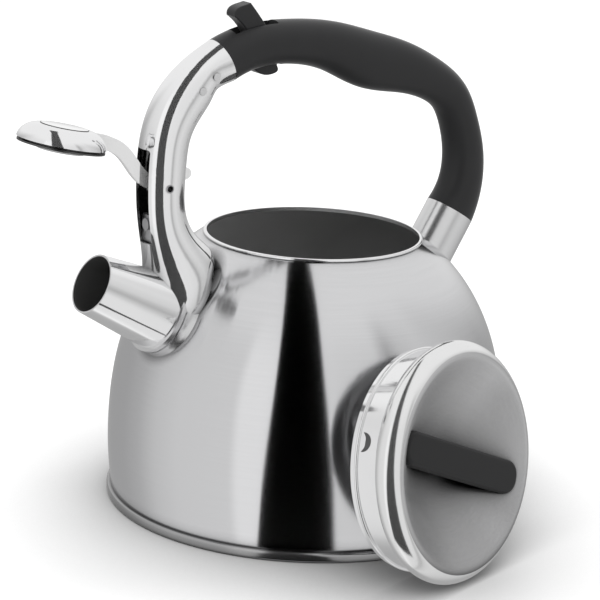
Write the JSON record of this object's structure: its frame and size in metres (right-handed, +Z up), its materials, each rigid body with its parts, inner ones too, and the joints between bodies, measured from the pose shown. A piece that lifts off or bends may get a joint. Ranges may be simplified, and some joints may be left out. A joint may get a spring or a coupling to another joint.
{
  "type": "stovetop whistling kettle",
  "caption": "Steel stovetop kettle with an arched handle, a thumb trigger that swings a whistle cap off the spout, and a lift-out lid leaning on the body.",
  "frame": {"origin": "on the vessel's axis, on the underside of the base, where the kettle stands", "axes": "+Z up along the vessel's axis, -X towards the spout, the arched handle in the XZ plane"},
  "size_m": [0.2544, 0.239, 0.2414],
  "materials": {
    "brushed_steel": "satin, brushed around the axis",
    "polished_steel": "mirror polished",
    "plain_steel": "as rolled",
    "black_plastic": "matte, fine grain",
    "core_aluminium": "plain, sealed in the base",
    "seal_rubber": "matte silicone"
  },
  "bodies": {
    "kettle": {"base_pan": "polished_steel", "heat_core": "core_aluminium", "vessel_shell": "brushed_steel", "spout_tube": "polished_steel", "spout_collar": "polished_steel", "front_bracket": "polished_steel", "foot_plate": "plain_steel", "foot_screw": "plain_steel", "pivot_pin": "polished_steel", "pivot_bushes": "plain_steel", "handle_grip": "black_plastic", "grip_rivets": "polished_steel", "trigger_pin": "plain_steel", "rear_ferrule": "brushed_steel", "rear_stud": "plain_steel"},
    "whistle": {"whistle_arm": "polished_steel", "arm_link_pin": "plain_steel", "cap_dome": "polished_steel", "cap_disc": "polished_steel", "cap_flange": "polished_steel", "whistle_reed": "plain_steel", "whistle_seal": "seal_rubber"},
    "trigger": {"trigger": "black_plastic", "trigger_link_pin": "plain_steel"},
    "link": {"link_rod": "plain_steel"},
    "lid": {"lid_rim": "polished_steel", "lid_dish": "brushed_steel", "lid_skirt": "polished_steel", "lid_bar": "black_plastic", "lid_screws": "plain_steel"}
  },
  "joints": [
    {"name": "whistle_hinge", "type": "hinge", "parent": "kettle", "child": "whistle", "pos_m": [-0.0865, 0, 0.161], "axis": [0, -1, 0], "range_deg": [0, 75]},
    {"name": "trigger_hinge", "type": "hinge", "parent": "kettle", "child": "trigger", "pos_m": [-0.036, 0, 0.216], "axis": [0, 1, 0], "range_deg": [0, 22.66]},
    {"name": "link_hinge", "type": "hinge", "parent": "trigger", "child": "link", "pos_m": [-0.05095, 0, 0.22009], "axis": [0, -1, 0], "range_deg": [0, 22.66]},
    {"name": "lid_lift", "type": "slide", "parent": "kettle", "child": "lid", "axis": [0, 0, 1], "range_m": [0, 0.12]}
  ],
  "couplings": [
    {"joint": "trigger_hinge", "follows": "whistle_hinge", "ratio": 0.302},
    {"joint": "link_hinge", "follows": "whistle_hinge", "ratio": 0.302}
  ]
}
